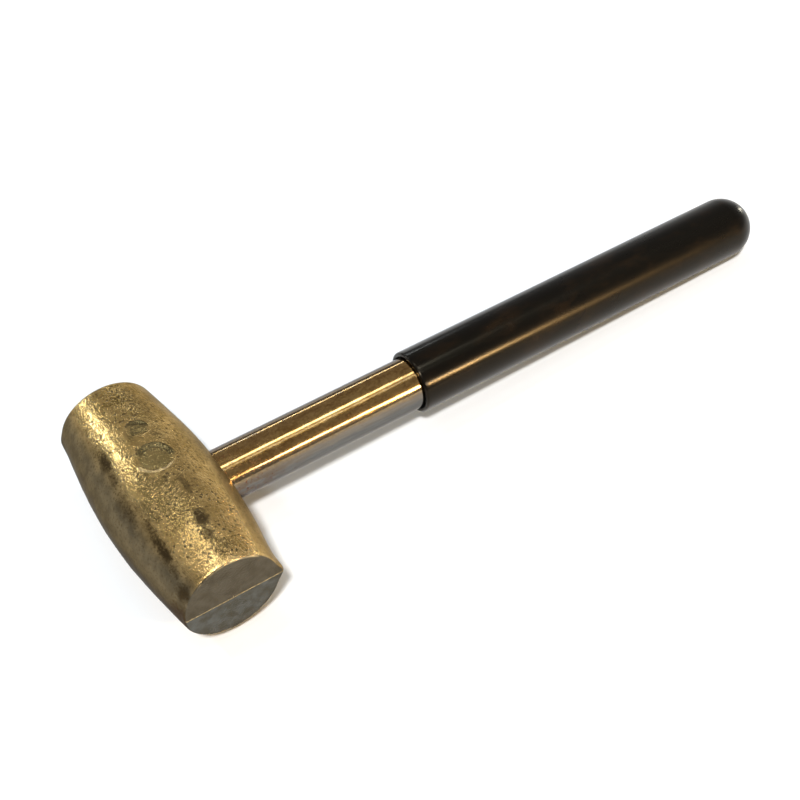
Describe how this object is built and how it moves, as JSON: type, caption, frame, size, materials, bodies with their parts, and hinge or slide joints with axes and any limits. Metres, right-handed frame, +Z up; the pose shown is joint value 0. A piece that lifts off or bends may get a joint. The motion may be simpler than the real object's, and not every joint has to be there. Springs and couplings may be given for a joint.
{
  "type": "soft-face hammer",
  "caption": "Barrel-shaped cast bronze head with drafted striking faces, cast onto a bright steel pipe handle with a black sleeve grip that has a domed end.",
  "frame": {"origin": "middle of the head, where the handle's axis crosses the head's axis", "axes": "+X along the handle from the head to the domed end of the grip, +Y along the head from the front face to the back face, +Z up, square to the mould's parting plane"},
  "size_m": [0.3042, 0.1006, 0.048],
  "materials": {
    "bronze": "sand-cast and tumbled, stained",
    "pipe_steel": "bright drawn, lightly scratched",
    "plug_steel": "plain",
    "grip_vinyl": "smooth, semi-gloss"
  },
  "bodies": {
    "root": {"head": "bronze", "handle_pipe": "pipe_steel", "core_plug": "plug_steel", "grip": "grip_vinyl"}
  },
  "joints": []
}
